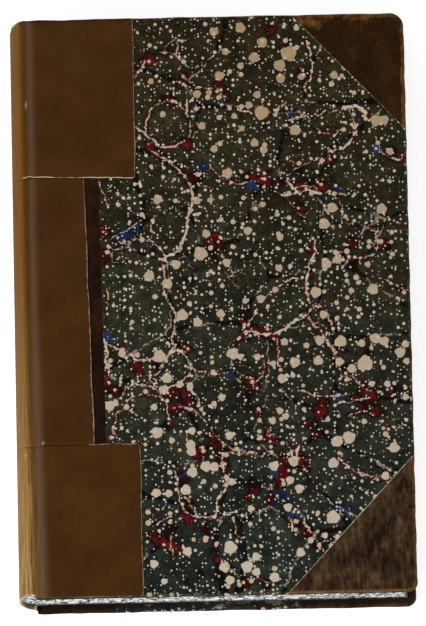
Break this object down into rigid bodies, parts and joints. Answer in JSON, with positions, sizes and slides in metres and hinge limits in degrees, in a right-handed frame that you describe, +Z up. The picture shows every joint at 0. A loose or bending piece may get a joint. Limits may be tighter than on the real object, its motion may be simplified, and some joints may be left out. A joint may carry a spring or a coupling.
{
  "type": "antique book",
  "caption": "Closed antique book with marbled paper sides, dark leather corners and a rounded spine mended with brown cloth tape; its covers swing open at the joints.",
  "frame": {"origin": "middle of the closed book's footprint, on the surface that its back cover lies on", "axes": "+X to the fore-edge, -X to the spine, +Y to the head, +Z up out of the front cover"},
  "size_m": [0.161, 0.24, 0.037],
  "materials": {
    "rag_paper": "matte, aged",
    "pasteboard": "matte",
    "marbled_paper": "burnished, rubbed",
    "old_leather": "dull, dried",
    "corner_leather": "grained, rubbed at the edges",
    "bookcloth_tape": "satin, fine weave",
    "lining_paper": "matte",
    "hemp_cord": "matte"
  },
  "bodies": {
    "book_block": {"text_block": "rag_paper", "sewing_cords": "hemp_cord", "spine_lining": "lining_paper", "spine_leather": "old_leather", "spine_head_patch": "bookcloth_tape", "spine_strip": "bookcloth_tape", "spine_tail_patch": "bookcloth_tape"},
    "front_cover": {"front_board": "pasteboard", "front_leather_side": "old_leather", "front_head_corner": "corner_leather", "front_tail_corner": "corner_leather", "front_marbled_paper": "marbled_paper", "front_pastedown": "rag_paper", "front_head_patch": "bookcloth_tape", "front_spine_strip": "bookcloth_tape", "front_tail_patch": "bookcloth_tape"},
    "back_cover": {"back_board": "pasteboard", "back_leather_side": "old_leather", "back_head_corner": "corner_leather", "back_tail_corner": "corner_leather", "back_marbled_paper": "marbled_paper", "back_pastedown": "rag_paper", "back_head_patch": "bookcloth_tape", "back_spine_strip": "bookcloth_tape", "back_tail_patch": "bookcloth_tape"}
  },
  "joints": [
    {"name": "front_cover_hinge", "type": "hinge", "parent": "book_block", "child": "front_cover", "pos_m": [-0.0735, 0, 0.03635], "axis": [0, -1, 0], "range_deg": [0, 180]},
    {"name": "back_cover_hinge", "type": "hinge", "parent": "book_block", "child": "back_cover", "pos_m": [-0.0735, 0, 0.00065], "axis": [0, 1, 0], "range_deg": [0, 180]}
  ]
}
